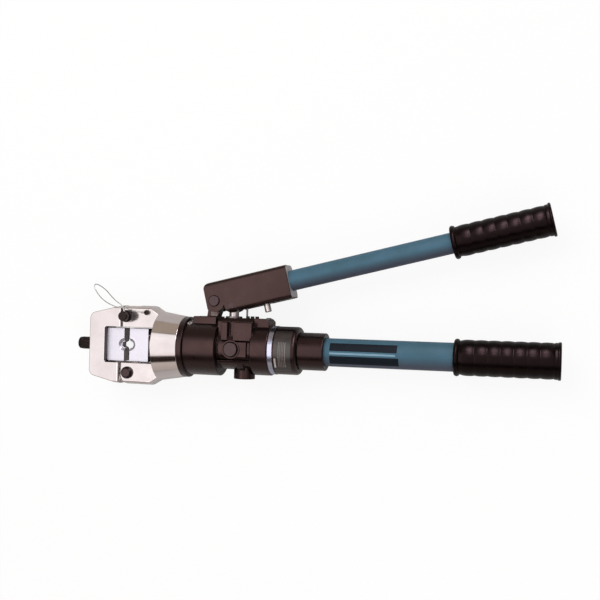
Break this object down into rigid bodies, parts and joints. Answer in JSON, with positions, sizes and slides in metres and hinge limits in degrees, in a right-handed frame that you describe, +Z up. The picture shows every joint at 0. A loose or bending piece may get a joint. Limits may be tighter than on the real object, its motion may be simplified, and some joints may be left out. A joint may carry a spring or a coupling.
{
  "type": "hydraulic crimping tool",
  "caption": "Hand-pumped hydraulic crimping tool: latched steel head with hexagonal dies, black pump body, and a fixed and a swinging handle with ribbed grips.",
  "frame": {"origin": "under the middle of the part's box, on the surface that it lies on", "axes": "+X from the head to the end of the fixed handle, +Y from the tool axis to the pump lever, +Z up, across the flats of the head"},
  "size_m": [0.5996, 0.2307, 0.086],
  "materials": {
    "head_nickel": "satin nickel plate",
    "die_steel": "ground steel",
    "rod_steel": "ground steel",
    "dark_steel": "black oxide",
    "grey_steel": "turned steel",
    "body_black": "gloss black enamel",
    "bracket_black": "satin black",
    "band_silver": "polished",
    "tube_paint": "satin teal grey",
    "grip_rubber": "glossy black",
    "seal_rubber": "matt black",
    "backup_plastic": "ivory",
    "spring_steel": "spring steel",
    "bronze": "turned bronze",
    "wire_steel": "stranded wire",
    "label_film": "plain film"
  },
  "bodies": {
    "tool": {"crimp_head": "head_nickel", "latch_yoke": "head_nickel", "hinge_pin": "dark_steel", "hinge_clip": "dark_steel", "fixed_die": "die_steel", "guide_bush": "bronze", "ram_wiper": "seal_rubber", "head_oring": "seal_rubber", "ram_spring": "spring_steel", "lanyard": "wire_steel", "lanyard_tab": "wire_steel", "lanyard_screw": "dark_steel", "knob_bush": "grey_steel", "knob_spring": "spring_steel", "pump_body": "body_black", "set_screw": "rod_steel", "side_plug": "dark_steel", "relief_spring": "spring_steel", "relief_ball": "rod_steel", "bottom_plug": "grey_steel", "inlet_spring": "spring_steel", "inlet_ball": "rod_steel", "plunger_gland": "grey_steel", "plunger_seal": "seal_rubber", "top_screw_1": "dark_steel", "top_screw_2": "dark_steel", "top_screw_3": "dark_steel", "stop_pin": "grey_steel", "release_gland": "grey_steel", "release_spring": "spring_steel", "release_ball": "rod_steel", "trim_band": "band_silver", "reservoir_collar": "body_black", "label": "label_film", "handle_socket": "body_black", "handle_tube": "tube_paint", "handle_grip": "grip_rubber", "tube_plug": "grey_steel", "oil_pipe": "bronze", "oil_bladder": "seal_rubber", "bladder_clamp": "spring_steel", "pivot_pin": "grey_steel", "pivot_clip": "dark_steel"},
    "ram": {"ram": "rod_steel", "piston_seal": "seal_rubber", "backup_ring": "backup_plastic"},
    "moving_die": {"moving_die": "die_steel"},
    "latch_pin": {"latch_pin": "dark_steel", "lanyard_eye": "wire_steel"},
    "die_knob": {"die_knob": "dark_steel"},
    "lever": {"lever_bracket": "bracket_black", "link_pin": "dark_steel"},
    "plunger": {"pump_plunger": "rod_steel"},
    "twist_handle": {"lever_tube": "tube_paint", "lever_grip": "grip_rubber", "lever_plug": "grey_steel", "release_peg": "rod_steel"},
    "release_stem": {"release_stem": "rod_steel"}
  },
  "joints": [
    {"name": "lever_swing", "type": "hinge", "parent": "tool", "child": "lever", "pos_m": [-0.11455, -0.00785, 0.043], "axis": [0, 0, 1], "range_deg": [-6.5, 40]},
    {"name": "plunger_slide", "type": "slide", "parent": "tool", "child": "plunger", "axis": [0, 1, 0], "range_m": [-0.0026, 0.0153]},
    {"name": "handle_twist", "type": "hinge", "parent": "lever", "child": "twist_handle", "pos_m": [-0.11546, -0.00421, 0.043], "axis": [0.9703, 0.2419, 0], "range_deg": [0, 17]},
    {"name": "ram_slide", "type": "slide", "parent": "tool", "child": "ram", "axis": [-1, 0, 0], "range_m": [0, 0.0068], "stiffness_N_per_m": 4000, "springref_m": -0.01, "deforming": ["ram_spring"]},
    {"name": "moving_die_slide", "type": "slide", "parent": "ram", "child": "moving_die", "axis": [0, 0, 1], "range_m": [0, 0.03]},
    {"name": "latch_pin_pull", "type": "slide", "parent": "tool", "child": "latch_pin", "axis": [0, 0, 1], "range_m": [0, 0.055], "deforming": ["lanyard"]},
    {"name": "die_knob_pull", "type": "slide", "parent": "tool", "child": "die_knob", "axis": [-1, 0, 0], "range_m": [0, 0.0035], "stiffness_N_per_m": 1500, "springref_m": -0.003, "deforming": ["knob_spring"]},
    {"name": "release_stem_press", "type": "slide", "parent": "tool", "child": "release_stem", "axis": [0, -1, 0], "range_m": [0, 0.002], "stiffness_N_per_m": 800, "springref_m": -0.002, "deforming": ["release_spring"]}
  ],
  "couplings": [
    {"joint": "plunger_slide", "follows": "lever_swing", "m_per_rad": 0.021694}
  ]
}
